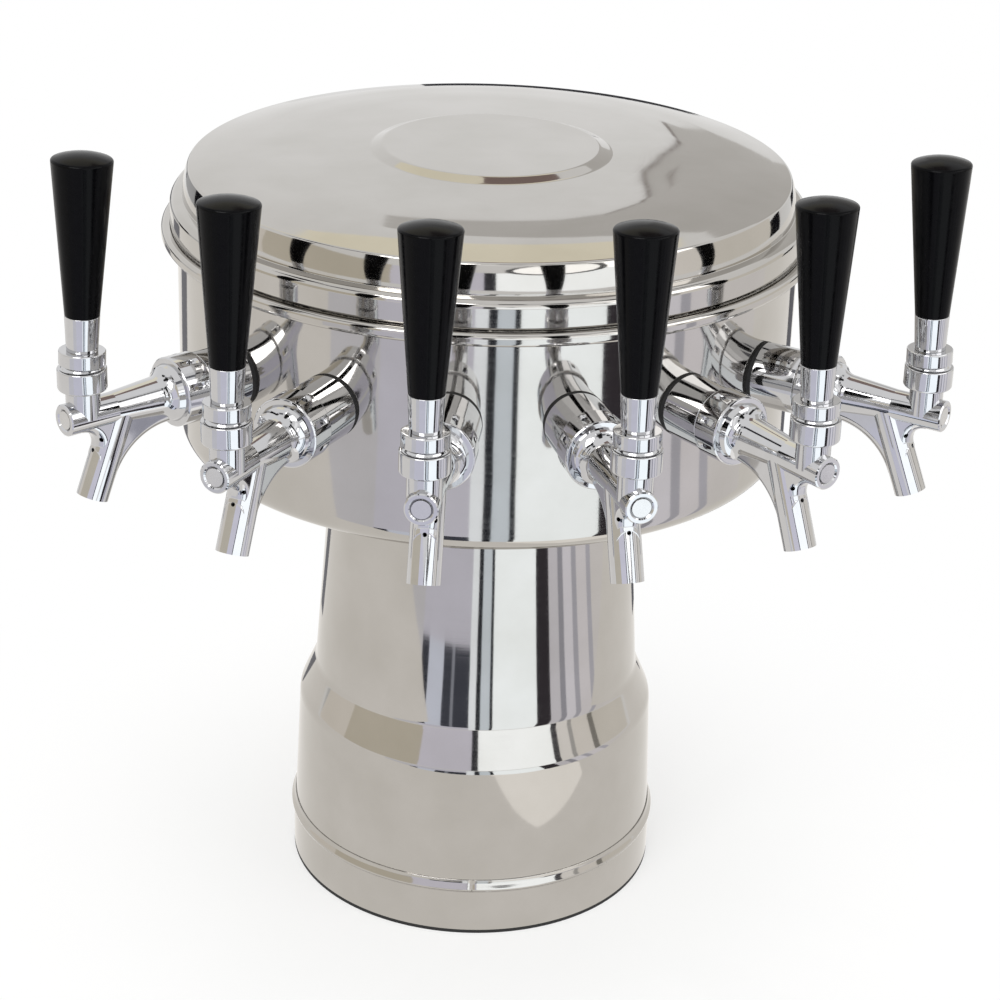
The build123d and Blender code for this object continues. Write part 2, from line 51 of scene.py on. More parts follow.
def addNode(tree, kind, settings=None, links=None, **inputs):
    node = tree.nodes.new(kind)
    for key, value in (settings or {}).items():
        setattr(node, key, value)
    for key, value in inputs.items():
        node.inputs[key.replace("_", " ")].default_value = value
    for key, source in (links or {}).items():
        tree.links.new(source, node.inputs[key])
    return node


def newMaterial(name, **surface):
    material = bpy.data.materials.new(name)
    material.use_nodes = True
    tree = material.node_tree
    shader = tree.nodes["Principled BSDF"]
    for key, value in surface.items():
        shader.inputs[key.replace("_", " ")].default_value = value
    place = addNode(tree, "ShaderNodeTexCoord").outputs["Object"]
    return material, tree, shader, place


def spreadTo(tree, source, low, high, toLow, toHigh, target=None):
    # a noise hardly leaves the middle of its range, so that middle is stretched
    spread = addNode(tree, "ShaderNodeMapRange", {}, {"Value": source},
                     From_Min=low, From_Max=high, To_Min=toLow, To_Max=toHigh)
    if target is not None:
        tree.links.new(spread.outputs[0], target)
    return spread.outputs[0]


def mixColours(tree, share, dark, light, target):
    mix = addNode(tree, "ShaderNodeMix", {"data_type": "RGBA"}, {0: share})
    mix.inputs[6].default_value = hexColour(dark)
    mix.inputs[7].default_value = hexColour(light)
    tree.links.new(mix.outputs[2], target)


def bumpTo(tree, height, strength, depth, target):
    bump = addNode(tree, "ShaderNodeBump", {}, {"Height": height}, Strength=strength, Distance=depth * mm)
    tree.links.new(bump.outputs[0], target)


def mathNode(tree, operation, first, second):
    # the second value is either a plain number or another node's output
    node = addNode(tree, "ShaderNodeMath", {"operation": operation}, {0: first})
    if isinstance(second, (int, float)):
        node.inputs[1].default_value = second
    else:
        tree.links.new(second, node.inputs[1])
    return node.outputs[0]


def ringPlace(tree, place, along, across):
    # radius and height repeat finely, the way round the axis hardly at all:
    # what a polishing mop leaves on a part that is spun while it is buffed
    x, y, z = addNode(tree, "ShaderNodeSeparateXYZ", links={0: place}).outputs
    flat = addNode(tree, "ShaderNodeCombineXYZ", links={0: x, 1: y})
    radius = addNode(tree, "ShaderNodeVectorMath", {"operation": "LENGTH"}, {0: flat.outputs[0]})
    fineRadius = mathNode(tree, "MULTIPLY", radius.outputs["Value"], across)
    fineHeight = mathNode(tree, "MULTIPLY", z, across)
    slowTurn = mathNode(tree, "MULTIPLY", mathNode(tree, "ARCTAN2", y, x), along)
    return addNode(tree, "ShaderNodeCombineXYZ", links={0: fineRadius, 1: fineHeight, 2: slowTurn}).outputs[0]


def polishedStainless():
    # stainless sheet, spun and mop polished to a mirror: a warm grey metal whose
    # reflections are sharp but wander a little where the sheet isn't quite true
    material, tree, shader, place = newMaterial(
        "stainlessSheetMirrorPolished", Base_Color=hexColour("#B9B6B1"), Metallic=1.0, Roughness=0.07)
    rings = ringPlace(tree, place, 2.0, 1400)  # mop lines about 0.7 mm apart
    lines = addNode(tree, "ShaderNodeTexNoise", {"noise_dimensions": "3D"}, {"Vector": rings},
                    Scale=1.0, Detail=3.0, Roughness=0.6)
    cloud = addNode(tree, "ShaderNodeTexNoise", {}, {"Vector": place}, Scale=28.0, Detail=4.0)
    tone = spreadTo(tree, cloud.outputs["Fac"], 0.3, 0.7, 0.0, 1.0)
    mixColours(tree, tone, "#B6B3AE", "#BDBAB6", shader.inputs["Base Color"])
    spreadTo(tree, lines.outputs["Fac"], 0.25, 0.75, 0.035, 0.085, shader.inputs["Roughness"])
    # long shallow waves of the sheet under the fine mop lines
    waves = addNode(tree, "ShaderNodeTexNoise", {}, {"Vector": place}, Scale=13.0, Detail=1.5)
    fine = addNode(tree, "ShaderNodeBump", {}, {"Height": lines.outputs["Fac"]},
                   Strength=0.05, Distance=0.02 * mm)
    bumpTo(tree, waves.outputs["Fac"], 0.3, 1.1, fine.inputs["Normal"])
    tree.links.new(fine.outputs[0], shader.inputs["Normal"])
    return material


def chromePlate():
    # bright chrome over polished brass: cooler and whiter than the sheet, with the
    # faint unevenness that hand buffing leaves on a casting
    material, tree, shader, place = newMaterial(
        "brassCastingChromePlated", Base_Color=hexColour("#C6C6C8"), Metallic=1.0, Roughness=0.05)
    cloud = addNode(tree, "ShaderNodeTexNoise", {}, {"Vector": place}, Scale=180.0, Detail=3.0)
    spreadTo(tree, cloud.outputs["Fac"], 0.3, 0.7, 0.03, 0.07, shader.inputs["Roughness"])
    mixColours(tree, cloud.outputs["Fac"], "#C1C1C2", "#CBCBCD", shader.inputs["Base Color"])
    buffed = addNode(tree, "ShaderNodeTexNoise", {}, {"Vector": place}, Scale=90.0, Detail=1.0)
    bumpTo(tree, buffed.outputs["Fac"], 0.15, 0.15, shader.inputs["Normal"])
    return material


def blackPhenolic():
    # compression moulded phenolic: dense black with a clear gloss and a trace of orange peel
    material, tree, shader, place = newMaterial(
        "phenolicMouldedGlossBlack", Base_Color=hexColour("#060607"), Roughness=0.16, IOR=1.5)
    shader.inputs["Specular IOR Level"].default_value = 0.07
    dust = addNode(tree, "ShaderNodeTexNoise", {}, {"Vector": place}, Scale=320.0, Detail=4.0)
    mixColours(tree, dust.outputs["Fac"], "#040405", "#09090B", shader.inputs["Base Color"])
    spreadTo(tree, dust.outputs["Fac"], 0.3, 0.7, 0.13, 0.22, shader.inputs["Roughness"])
    peel = addNode(tree, "ShaderNodeTexNoise", {}, {"Vector": place}, Scale=700.0, Detail=1.0)
    bumpTo(tree, peel.outputs["Fac"], 0.25, 0.02, shader.inputs["Normal"])
    return material


def turnedMetal(name, dark, light, low, high):
    # bar, rod or tube as it came off the machine: fine grooves and a soft, streaky gloss
    material, tree, shader, place = newMaterial(name, Base_Color=hexColour(light), Metallic=1.0)
    streaks = addNode(tree, "ShaderNodeTexNoise", {}, {"Vector": place}, Scale=900.0, Detail=3.0)
    stains = addNode(tree, "ShaderNodeTexNoise", {}, {"Vector": place}, Scale=70.0, Detail=4.0)
    mixColours(tree, stains.outputs["Fac"], dark, light, shader.inputs["Base Color"])
    spreadTo(tree, streaks.outputs["Fac"], 0.3, 0.7, low, high, shader.inputs["Roughness"])
    bumpTo(tree, streaks.outputs["Fac"], 0.3, 0.03, shader.inputs["Normal"])
    return material


def softMoulding(name, dark, light, roughness, grain, depth):
    # moulded rubber, nylon or foam: an even matt skin with a fine grain
    material, tree, shader, place = newMaterial(name, Base_Color=hexColour(light), Roughness=roughness)
    speck = addNode(tree, "ShaderNodeTexNoise", {}, {"Vector": place}, Scale=grain, Detail=5.0)
    mixColours(tree, speck.outputs["Fac"], dark, light, shader.inputs["Base Color"])
    bumpTo(tree, speck.outputs["Fac"], 0.5, depth, shader.inputs["Normal"])
    return material


steel = polishedStainless()
chrome = chromePlate()
black = blackPhenolic()
plainSteel = turnedMetal("stainlessBarTurned", "#8E8D8A", "#A9A8A5", 0.22, 0.38)
rodSteel = turnedMetal("stainlessRodGround", "#BFBEBD", "#D2D2D2", 0.10, 0.20)
tubeSteel = turnedMetal("stainlessTubeDrawn", "#96948F", "#ACAAA6", 0.18, 0.30)
rubber = softMoulding("nitrileRubberMoulded", "#0D0D0D", "#1A1A1B", 0.72, 800.0, 0.03)
nylon = softMoulding("nylonMouldedNatural", "#D8D4C8", "#E6E3DA", 0.5, 500.0, 0.02)
foam = softMoulding("polyurethaneFoamRigid", "#C9B98A", "#E2D6AE", 0.9, 420.0, 0.4)
print("materials made")


# tools for shapes
rounding = {
    "straight": math.radians(89.5),  # half the angle from which a corner counts as straight
    "share": 0.49,  # of a side that one corner's arc may take
    "guard": 0.5, "guardShare": 0.3,  # extra point beside an arc, so the flat next to it shades flat
}


def roundedOutline(points, closed=True, step=0.14):
    # points are (radius, height, bend) in mm; each corner becomes an arc of that bend
    r = rounding
    result = []
    for i, (radius, height, bend) in enumerate(points):
        here = Vector((radius, height))
        isEnd = not closed and i in (0, len(points) - 1)
        if isEnd or bend <= 0:
            result.append(here)
            continue
        a = Vector(points[i - 1][:2]) - here
        b = Vector(points[(i + 1) % len(points)][:2]) - here
        la, lb = a.length, b.length
        a, b = a / la, b / lb
        half = math.acos(max(-1.0, min(1.0, a.dot(b)))) / 2
        if half > r["straight"]:
            result.append(here)
            continue
        reach = min(bend / math.tan(half), r["share"] * la, r["share"] * lb)
        bend = reach * math.tan(half)
        centre = here + (a + b).normalized() * (bend / math.sin(half))
        start, end = here + a * reach, here + b * reach
        turn = math.pi - 2 * half
        pieces = max(2, int(math.ceil(turn / step)))
        guard = min(r["guard"], r["guardShare"] * (la - reach), r["guardShare"] * (lb - reach))
        result.append(start + a * guard)
        u, v = (start - centre), (end - centre)
        for k in range(pieces + 1):
            t = k / pieces
            result.append(centre + (u * math.sin((1 - t) * turn) + v * math.sin(t * turn)) / math.sin(turn))
        result.append(end + b * guard)
    if closed:
        result.append(result[0].copy())
    return result


def treeWith(name, **inputs):
    tree = bpy.data.node_groups.new(name, "GeometryNodeTree")
    tree.is_modifier = True
    tree.interface.new_socket("Geometry", in_out="INPUT", socket_type="NodeSocketGeometry")
    for label, kind in inputs.items():
        tree.interface.new_socket(label, in_out="INPUT", socket_type="NodeSocket" + kind)
    tree.interface.new_socket("Geometry", in_out="OUTPUT", socket_type="NodeSocketGeometry")
    return tree, tree.nodes.new("NodeGroupInput").outputs, tree.nodes.new("NodeGroupOutput")


def finishTree(tree, geometry, material, out):
    real = addNode(tree, "GeometryNodeRealizeInstances", links={0: geometry})
    painted = addNode(tree, "GeometryNodeSetMaterial",
                      links={"Geometry": real.outputs[0], "Material": material})
    tree.links.new(painted.outputs[0], out.inputs[0])


def spunTree():
    # turns the outline's points round the axis: one row of the grid for each step of the turn
    tree, given, out = treeWith("spunPiece", Steps="Int", Start="Float", Sweep="Float", Material="Material")
    size = addNode(tree, "GeometryNodeAttributeDomainSize", {"component": "MESH"}, {0: given["Geometry"]})
    points = size.outputs["Point Count"]
    grid = addNode(tree, "GeometryNodeMeshGrid",
                   links={"Vertices X": mathNode(tree, "ADD", given["Steps"], 1), "Vertices Y": points})
    index = addNode(tree, "GeometryNodeInputIndex").outputs[0]
    row = addNode(tree, "ShaderNodeMath", {"operation": "FLOOR"},
                  {0: mathNode(tree, "DIVIDE", index, points)})
    column = mathNode(tree, "MODULO", index, points)
    place = addNode(tree, "GeometryNodeInputPosition")
    sample = addNode(tree, "GeometryNodeSampleIndex", {"data_type": "FLOAT_VECTOR", "domain": "POINT"},
                     {0: given["Geometry"], "Value": place.outputs[0], "Index": column})
    share = mathNode(tree, "DIVIDE", row.outputs[0], given["Steps"])
    turn = addNode(tree, "ShaderNodeMath", {"operation": "MULTIPLY_ADD"},
                   {0: share, 1: given["Sweep"], 2: given["Start"]})
    rotated = addNode(tree, "ShaderNodeVectorRotate", {"rotation_type": "Z_AXIS"},
                      {"Vector": sample.outputs[0], "Angle": turn.outputs[0]})
    moved = addNode(tree, "GeometryNodeSetPosition",
                    links={"Geometry": grid.outputs["Mesh"], "Position": rotated.outputs[0]})
    merged = addNode(tree, "GeometryNodeMergeByDistance", links={"Geometry": moved.outputs[0]},
                     Distance=0.002 * mm)
    smooth = addNode(tree, "GeometryNodeSetShadeSmooth", links={"Geometry": merged.outputs[0]})
    finishTree(tree, smooth.outputs[0], given["Material"], out)
    return tree


def fanTree():
    # copies of one tap's piece, fanned out about the tower's axis
    tree, given, out = treeWith("tapFan", Count="Int", Pitch="Float", Material="Material")
    points = addNode(tree, "GeometryNodeMeshLine", {"mode": "OFFSET"}, {"Count": given["Count"]})
    points.inputs["Offset"].default_value = (0, 0, 0)
    # the fan is even about the front: copy i stands (i - (count - 1) / 2) pitches from it
    index = addNode(tree, "GeometryNodeInputIndex").outputs[0]
    middle = mathNode(tree, "ADD", mathNode(tree, "MULTIPLY", given["Count"], -0.5), 0.5)
    turn = mathNode(tree, "MULTIPLY", mathNode(tree, "ADD", index, middle), given["Pitch"])
    angles = addNode(tree, "ShaderNodeCombineXYZ", links={2: turn})
    copies = addNode(tree, "GeometryNodeInstanceOnPoints",
                     links={"Points": points.outputs[0], "Instance": given["Geometry"],
                            "Rotation": angles.outputs[0]})
    finishTree(tree, copies.outputs[0], given["Material"], out)
    return tree


def drilledTree():
    # blind holes drilled square to the axis, evenly round a ring
    tree, given, out = treeWith("spannerHoles", Holes="Int", HoleRadius="Float", Depth="Float",
                                RingRadius="Float", Height="Float", Material="Material")
    # half of each drill stands outside the ring
    length = mathNode(tree, "MULTIPLY", given["Depth"], 2.0)
    drill = addNode(tree, "GeometryNodeMeshCylinder",
                    links={"Radius": given["HoleRadius"], "Depth": length}, Vertices=28)
    lying = addNode(tree, "GeometryNodeTransform", links={"Geometry": drill.outputs[0]})
    lying.inputs["Rotation"].default_value = (0, math.pi / 2, 0)
    ring = addNode(tree, "GeometryNodeMeshCircle",
                   links={"Vertices": given["Holes"], "Radius": given["RingRadius"]})
    lift = addNode(tree, "ShaderNodeCombineXYZ", links={2: given["Height"]})
    raised = addNode(tree, "GeometryNodeTransform",
                     links={"Geometry": ring.outputs[0], "Translation": lift.outputs[0]})
    place = addNode(tree, "GeometryNodeInputPosition")
    x, y, _ = addNode(tree, "ShaderNodeSeparateXYZ", links={0: place.outputs[0]}).outputs
    angles = addNode(tree, "ShaderNodeCombineXYZ", links={2: mathNode(tree, "ARCTAN2", y, x)})
    drills = addNode(tree, "GeometryNodeInstanceOnPoints",
                     links={"Points": raised.outputs[0], "Instance": lying.outputs[0],
                            "Rotation": angles.outputs[0]})
    solid = addNode(tree, "GeometryNodeRealizeInstances", links={0: drills.outputs[0]})
    cut = addNode(tree, "GeometryNodeMeshBoolean", {"operation": "DIFFERENCE"},
                  {0: given["Geometry"], 1: solid.outputs[0]})
    finishTree(tree, cut.outputs[0], given["Material"], out)
    return tree


trees = {"spun": spunTree(), "fan": fanTree(), "drilled": drilledTree()}


def newObject(name, data):
    made = bpy.data.objects.new(name, data)
    bpy.context.scene.collection.objects.link(made)
    return made


def plainMesh(made):
    # the evaluated mesh takes the place of the object's own, and its modifiers go
    graph = bpy.context.evaluated_depsgraph_get()
    mesh = bpy.data.meshes.new_from_object(made.evaluated_get(graph))
    old = made.data
    made.modifiers.clear()
    made.data = mesh
    mesh.name = made.name
    if old.users == 0:
        bpy.data.meshes.remove(old)


def runTree(made, tree, **values):
    modifier = made.modifiers.new(tree.name, "NODES")
    modifier.node_group = tree
    for item in tree.interface.items_tree:
        if item.item_type == "SOCKET" and item.in_out == "INPUT" and item.name in values:
            modifier[item.identifier] = values[item.name]
    plainMesh(made)
    return made


def changeMesh(made, change):
    # hands the mesh to the change as a bmesh and puts the result back
    work = bmesh.new()
    work.from_mesh(made.data)
    change(work)
    work.to_mesh(made.data)
    work.free()


def closeEnds(work):
    bmesh.ops.holes_fill(work, edges=[e for e in work.edges if e.is_boundary], sides=0)


def turnOutwards(work):
    bmesh.ops.recalc_face_normals(work, faces=work.faces)


def dropLooseEdges(work):
    # what is left of the outline where it runs along the axis
    bmesh.ops.delete(work, geom=[e for e in work.edges if not e.link_faces], context="EDGES")


def spun(name, points, material, steps=192, start=0.0, sweep=360.0, closed=True, step=0.14):
    outline = roundedOutline(points, closed, step)
    mesh = bpy.data.meshes.new(name)
    mesh.from_pydata([(p.x * mm, 0, p.y * mm) for p in outline], [], [])
    made = runTree(newObject(name, mesh), trees["spun"], Steps=steps, Start=math.radians(start),
                   Sweep=math.radians(sweep), Material=material)
    if sweep < 360:
        changeMesh(made, closeEnds)
    changeMesh(made, turnOutwards)
    return made


def placed(made, matrix):
    made.data.transform(matrix)
    if matrix.determinant() < 0:
        made.data.flip_normals()
    return made


def copyTurned(source, name, degrees):
    mesh = source.data.copy()
    mesh.transform(Matrix.Rotation(math.radians(degrees), 4, "Z"))
    return newObject(name, mesh)


def remove(*objects):
    for made in objects:
        mesh = made.data
        bpy.data.objects.remove(made)
        if mesh.users == 0:
            bpy.data.meshes.remove(mesh)


def finished(made, body, slotName, *replaced):
    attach(made, body)
    if replaced:
        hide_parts(*replaced)


# the foot and the column; heights and radii in mm
column = {
    "sheet": 1.5, "bottom": 2.0, "skirt": 107.3, "bandTop": 35.6, "skirtTop": 104.6,
    "shoulderLow": 106.0, "shoulderHigh": 127.0, "neckBase": 95.2, "neck": 86.2,
    "neckStraight": 258.8, "top": 283.3, "shoulderBend": 14.0, "neckBend": 60.0, "hem": 0.6,
    "innerLow": 105.4, "innerHigh": 126.6,  # the shoulder on the sheet's inner face
}


def makeColumn():
    c = column
    s = c["sheet"]
    outside = [
        (c["skirt"], c["bottom"], c["hem"]),
        (c["skirt"], c["bandTop"], c["neckBend"]),
        (c["skirtTop"], c["shoulderLow"], c["shoulderBend"]),
        (c["neckBase"], c["shoulderHigh"], c["shoulderBend"]),
        (c["neck"], c["neckStraight"], c["neckBend"]),
        (c["neck"], c["top"], c["hem"]),
    ]
    inside = [
        (c["neck"] - s, c["top"], c["hem"]),
        (c["neck"] - s, c["neckStraight"], c["neckBend"]),
        (c["neckBase"] - s, c["innerHigh"], c["shoulderBend"] + s),
        (c["skirtTop"] - s, c["innerLow"], c["shoulderBend"] - s),
        (c["skirt"] - s, c["bandTop"], c["neckBend"]),
        (c["skirt"] - s, c["bottom"], c["hem"]),
    ]
    made = spun("columnSheet", outside + inside, steel, steps=256, step=0.05)
    finished(made, "tower", "polished_steel", "column")


band = {
    "inner": 107.32, "outer": 108.5, "bottom": 2.0, "top": 28.0, "edge": 0.1, "outerEdge": 0.3,
    "beadFoot": 109.6, "beadFootBend": 1.0, "beadOut": 110.0, "beadCrest": 30.2, "beadBend": 1.6,
    "beadRunOut": (108.35, 33.3, 4.0), "beadTop": 35.5, "beadLip": 107.85, "lipBend": 0.3,
    "joint": -94.2, "gap": 0.32,  # degrees
}


def makeBand():
    b = band
    strip = [
        (b["inner"], b["bottom"], b["edge"]), (b["outer"], b["bottom"], b["outerEdge"]),
        (b["outer"], b["top"], b["edge"]), (b["inner"], b["top"], b["edge"]),
    ]
    made = spun("footBandStrip", strip, steel, steps=256)
    finished(made, "tower", "polished_steel", "foot_band")
    # the bead is undercut below and runs out smoothly on the skirt above
    bead = [
        (b["inner"], b["top"], b["edge"]), (b["beadFoot"], b["top"], b["beadFootBend"]),
        (b["beadOut"], b["beadCrest"], b["beadBend"]), b["beadRunOut"],
        (b["beadLip"], b["beadTop"], b["lipBend"]), (b["inner"], b["beadTop"], b["edge"]),
    ]
    made = spun("footBandBead", bead, steel, steps=300, start=b["joint"] + b["gap"] / 2,
                sweep=360 - b["gap"])
    finished(made, "tower", "polished_steel")


# the head
drum = {
    "sheet": 1.5, "radius": 171.3, "floor": 272.8, "edge": 12.0, "top": 411.0, "hem": 0.5,
    "hole": 86.22, "holeEdge": 0.4,
    # the wall steps out behind the rolled bead, whose curl closes on it again above
    "rim": 173.4, "stepLow": 392.0, "stepLowBend": 0.5, "stepHigh": 392.9, "stepHighBend": 0.2,
    "curl": 174.2, "curlBend": 2.0, "beadLow": 390.6, "beadOut": 180.0, "beadHigh": 397.8, "beadBend": 3.4,
    "curlBack": 174.6, "curlBackBend": 1.8, "curlEnd": 396.2, "curlEndBend": 0.3,
    "innerHigh": 394.2, "innerLow": 392.1, "innerBend": 1.0,
}


def makeDrum():
    d = drum
    s = d["sheet"]
    outline = [
        (d["hole"], d["floor"], d["holeEdge"]), (d["radius"], d["floor"], d["edge"]),
        (d["radius"], d["stepLow"], d["stepLowBend"]), (d["rim"], d["stepHigh"], d["stepHighBend"]),
        (d["curl"], d["beadLow"], d["curlBend"]),
        (d["beadOut"], d["beadLow"], d["beadBend"]), (d["beadOut"], d["beadHigh"], d["beadBend"]),
        (d["curlBack"], d["beadHigh"], d["curlBackBend"]), (d["rim"], d["curlEnd"], d["curlEndBend"]),
        (d["rim"], d["top"], d["hem"]), (d["rim"] - s, d["top"], d["hem"]),
        (d["rim"] - s, d["innerHigh"], d["innerBend"]), (d["radius"] - s, d["innerLow"], d["innerBend"]),
        (d["radius"] - s, d["floor"] + s, d["edge"] - s), (d["hole"], d["floor"] + s, d["holeEdge"]),
    ]
    made = spun("headDrumSheet", outline, steel, steps=320, step=0.06)
    finished(made, "tower", "polished_steel", "head_drum")


lid = {
    "sheet": 1.2, "skirt": 175.1, "hem": 399.1, "hemBend": 0.4, "step": 412.6, "stepBend": 5.2,
    "upper": 168.2, "foot": 413.6, "footBend": 0.4, "lean": 20.0, "leanBend": 40.0, "leanSteps": 8,
    "crown": 429.4, "crownBend": 4.5, "ringRadius": 147.0, "ring": 433.2,
    "domeRadius": 117.1, "dome": 435.9, "domeBend": 300.0,
    "panel": 66.0, "panelFoot": 438.3, "panelTop": 440.7, "panelSlope": 6.5, "panelBend": 6.0,
    "stop": 171.3, "stopInner": 169.3, "stopLow": 411.0, "stopHigh": 411.5, "stopBend": 0.1,
    "stopCorner": 0.2,
}


def leaningWall(inwards):
    # the upper skirt starts upright and leans in more and more towards the crown
    v = lid
    middle, bend, top = v["upper"] - v["leanBend"], v["leanBend"] - inwards, v["crown"] - inwards
    wall = []
    for k in range(1, v["leanSteps"] + 1):
        angle = math.radians(v["lean"] * k / v["leanSteps"])
        wall.append((middle + bend * math.cos(angle), v["foot"] + bend * math.sin(angle), 0))
    radius, height, _ = wall[-1]
    wall.append((radius - (top - height) * math.tan(angle), top, v["crownBend"] - inwards))
    return wall


def makeLid():
    v = lid
    s = v["sheet"]
    top = [
        (v["ringRadius"], v["ring"], v["domeBend"]), (v["domeRadius"], v["dome"], v["domeBend"]),
        (v["panel"], v["panelFoot"], v["panelBend"]),
        (v["panel"] - v["panelSlope"], v["panelTop"], v["panelBend"]), (0, v["panelTop"], 0),
    ]
    outside = [
        (v["skirt"], v["hem"], v["hemBend"]), (v["skirt"], v["step"], v["stepBend"]),
        (v["upper"], v["foot"], v["footBend"]),
    ]
    # the lip under the step rests on the drum's wall
    inside = [
        (v["upper"] - s, v["foot"] - s, v["footBend"]), (v["stopInner"], v["stopHigh"], v["stopBend"]),
        (v["stop"], v["stopHigh"], v["stopBend"]), (v["stop"], v["stopLow"], v["stopBend"]),
        (v["skirt"] - s, v["stopLow"], v["stopCorner"]), (v["skirt"] - s, v["hem"], v["hemBend"]),
    ]
    underside = [(radius, height - s, bend) for radius, height, bend in reversed(top)]
    outline = outside + leaningWall(0) + top + underside + leaningWall(s)[::-1] + inside
    made = spun("lidPressed", outline, steel, steps=320, step=0.05)
    changeMesh(made, dropLooseEdges)
    finished(made, "lid", "polished_steel", "lid")


makeColumn()
makeBand()
makeDrum()
makeLid()
print("foot, column and head made")


# the taps
taps = {"count": 6, "pitch": 21.6, "height": 346.0, "reach": 264.0, "ball": 20.0, "lean": 2.5}
tapTurns = [taps["pitch"] * (n - (taps["count"] - 1) / 2) for n in range(taps["count"])]
alongTap = Matrix.Translation((0, 0, taps["height"] * mm)) @ Matrix.Rotation(math.pi / 2, 4, "X")
overBoss = Matrix.Translation((0, -taps["reach"] * mm, taps["height"] * mm))
alongLever = (Matrix.Translation((0, -taps["reach"] * mm, (taps["height"] + taps["ball"]) * mm))
              @ Matrix.Rotation(math.radians(-taps["lean"]), 4, "X"))


def fanned(one, name):
    # all six of a fixed piece as one mesh
    fan = newObject(name, one.data.copy())
    remove(one)
    pitch = math.radians(taps["pitch"])
    return runTree(fan, trees["fan"], Count=taps["count"], Pitch=pitch, Material=chrome)


def eachTap(one, name, slotName, *replaced):
    # one mesh for each tap, because each rides with its own handle
    for number, turn in enumerate(tapTurns, start=1):
        made = copyTurned(one, "tap%d%s" % (number, name), turn)
        finished(made, "tap%d_handle" % number, slotName, *[node % number for node in replaced])
    remove(one)


collar = {
    "start": 172.8, "end": 197.0, "radius": 17.0, "bore": 11.1, "boreEdge": 0.1, "wallEdge": 0.15,
    "chamfer": 0.5, "chamferBend": 0.3,
}


def makeCollars():
    c = collar
    outline = [
        (c["bore"], c["start"], c["boreEdge"]), (c["radius"], c["start"], c["wallEdge"]),
        (c["radius"], c["end"] - c["chamfer"], c["chamferBend"]),
        (c["radius"] - c["chamfer"], c["end"], c["chamferBend"]), (c["bore"], c["end"], c["boreEdge"]),
    ]
    one = placed(spun("shankCollar", outline, chrome, steps=96), alongTap)
    finished(fanned(one, "shankCollars"), "tower", "chrome", "shank_collars")


nut = {
    "start": 197.3, "end": 213.0, "radius": 18.2, "chamfer": 0.7, "faceBend": 0.4, "sideBend": 0.5,
    "lip": 3.7, "thread": 11.2, "cavity": 14.4, "boreEdge": 0.1,
    "holes": 8, "holeRadius": 1.6, "holeDepth": 2.6,
}


def makeNuts():
    n = nut
    inner = n["radius"] - n["chamfer"]
    outline = [
        (n["thread"], n["start"], n["boreEdge"]), (inner, n["start"], n["faceBend"]),
        (n["radius"], n["start"] + n["chamfer"], n["sideBend"]),
        (n["radius"], n["end"] - n["chamfer"], n["sideBend"]),
        (inner, n["end"], n["faceBend"]), (n["cavity"], n["end"], n["boreEdge"]),
        (n["cavity"], n["start"] + n["lip"], n["boreEdge"]),
        (n["thread"], n["start"] + n["lip"], n["boreEdge"]),
    ]
    # the plain nut and the drilled one are both turned by half the holes' pitch, so the top
    # of the nut lies midway between two holes
    halfPitch = Matrix.Rotation(math.pi / n["holes"], 4, "Z")
    one = placed(spun("couplingNut", outline, chrome, steps=112), halfPitch)
    runTree(one, trees["drilled"], Holes=n["holes"], HoleRadius=n["holeRadius"] * mm,
            Depth=n["holeDepth"] * mm, RingRadius=n["radius"] * mm,
            Height=(n["start"] + n["end"]) / 2 * mm, Material=chrome)
    one = placed(one, alongTap @ halfPitch)
    finished(fanned(one, "couplingNuts"), "tower", "chrome", "coupling_nuts")


bonnet = {
    "bottom": 14.6, "radius": 12.4, "edge": 1.3, "dome": 12.4, "domeFoot": 25.9, "domeTop": 29.5,
    "domeSteps": 6, "throat": 5.8, "throatHeight": 24.4, "throatBend": 1.5, "washerTop": 23.6,
    "thread": 9.4, "boreEdge": 0.1,
}


def makeBonnets():
    b = bonnet
    outline = [
        (b["thread"], b["bottom"], b["boreEdge"]), (b["radius"], b["bottom"], b["edge"]),
        (b["radius"], b["domeFoot"], b["edge"]),
    ]
    # dome about the centre of the lever's ball
    low = math.asin((b["domeFoot"] - taps["ball"]) / b["dome"])
    high = math.asin((b["domeTop"] - taps["ball"]) / b["dome"])
    for k in range(b["domeSteps"] + 1):
        angle = low + (high - low) * k / b["domeSteps"]
        outline.append((b["dome"] * math.cos(angle), taps["ball"] + b["dome"] * math.sin(angle), 0))
    outline += [
        (b["throat"], b["throatHeight"], b["throatBend"]), (b["throat"], b["washerTop"], b["boreEdge"]),
        (b["thread"], b["washerTop"], b["boreEdge"]),
    ]
    one = placed(spun("bonnetCap", outline, chrome, steps=112), overBoss)
    finished(fanned(one, "bonnetCaps"), "tower", "chrome", "bonnets")


# heights along the lever, from the centre of its ball
handle = {
    "stem": 3.0, "stemTop": 45.0, "fineEdge": 0.05, "boreEdge": 0.1,
    "cup": 11.7, "cupLow": 8.0, "cupTop": 15.0, "cupEdge": 0.6, "cupRim": 0.15, "cupHollow": 13.7,
    "cupSteps": 8, "ferrule": 7.9, "ferruleEdge": 0.2, "ferruleTop": 33.0, "ferruleTopRadius": 8.8,
    "ferruleTopEdge": 0.3, "knobFoot": 8.7, "knobFootEdge": 0.35, "knobRadius": 15.2,
    "knobTop": 111.6, "knobEdge": 1.5, "crown": 3.0, "crownRings": (0.86, 0.72, 0.58, 0.44, 0.3, 0.15),
}


def makeFerrules():
    h = handle
    outline = [
        (h["stem"], h["cupTop"], h["fineEdge"]), (h["ferrule"], h["cupTop"], h["ferruleEdge"]),
        (h["ferruleTopRadius"], h["ferruleTop"], h["ferruleTopEdge"]),
        (h["stem"], h["ferruleTop"], h["boreEdge"]),
    ]
    one = placed(spun("ferrule", outline, chrome, steps=96), alongLever)
    eachTap(one, "Ferrule", "chrome", "tap%d_ferrule")


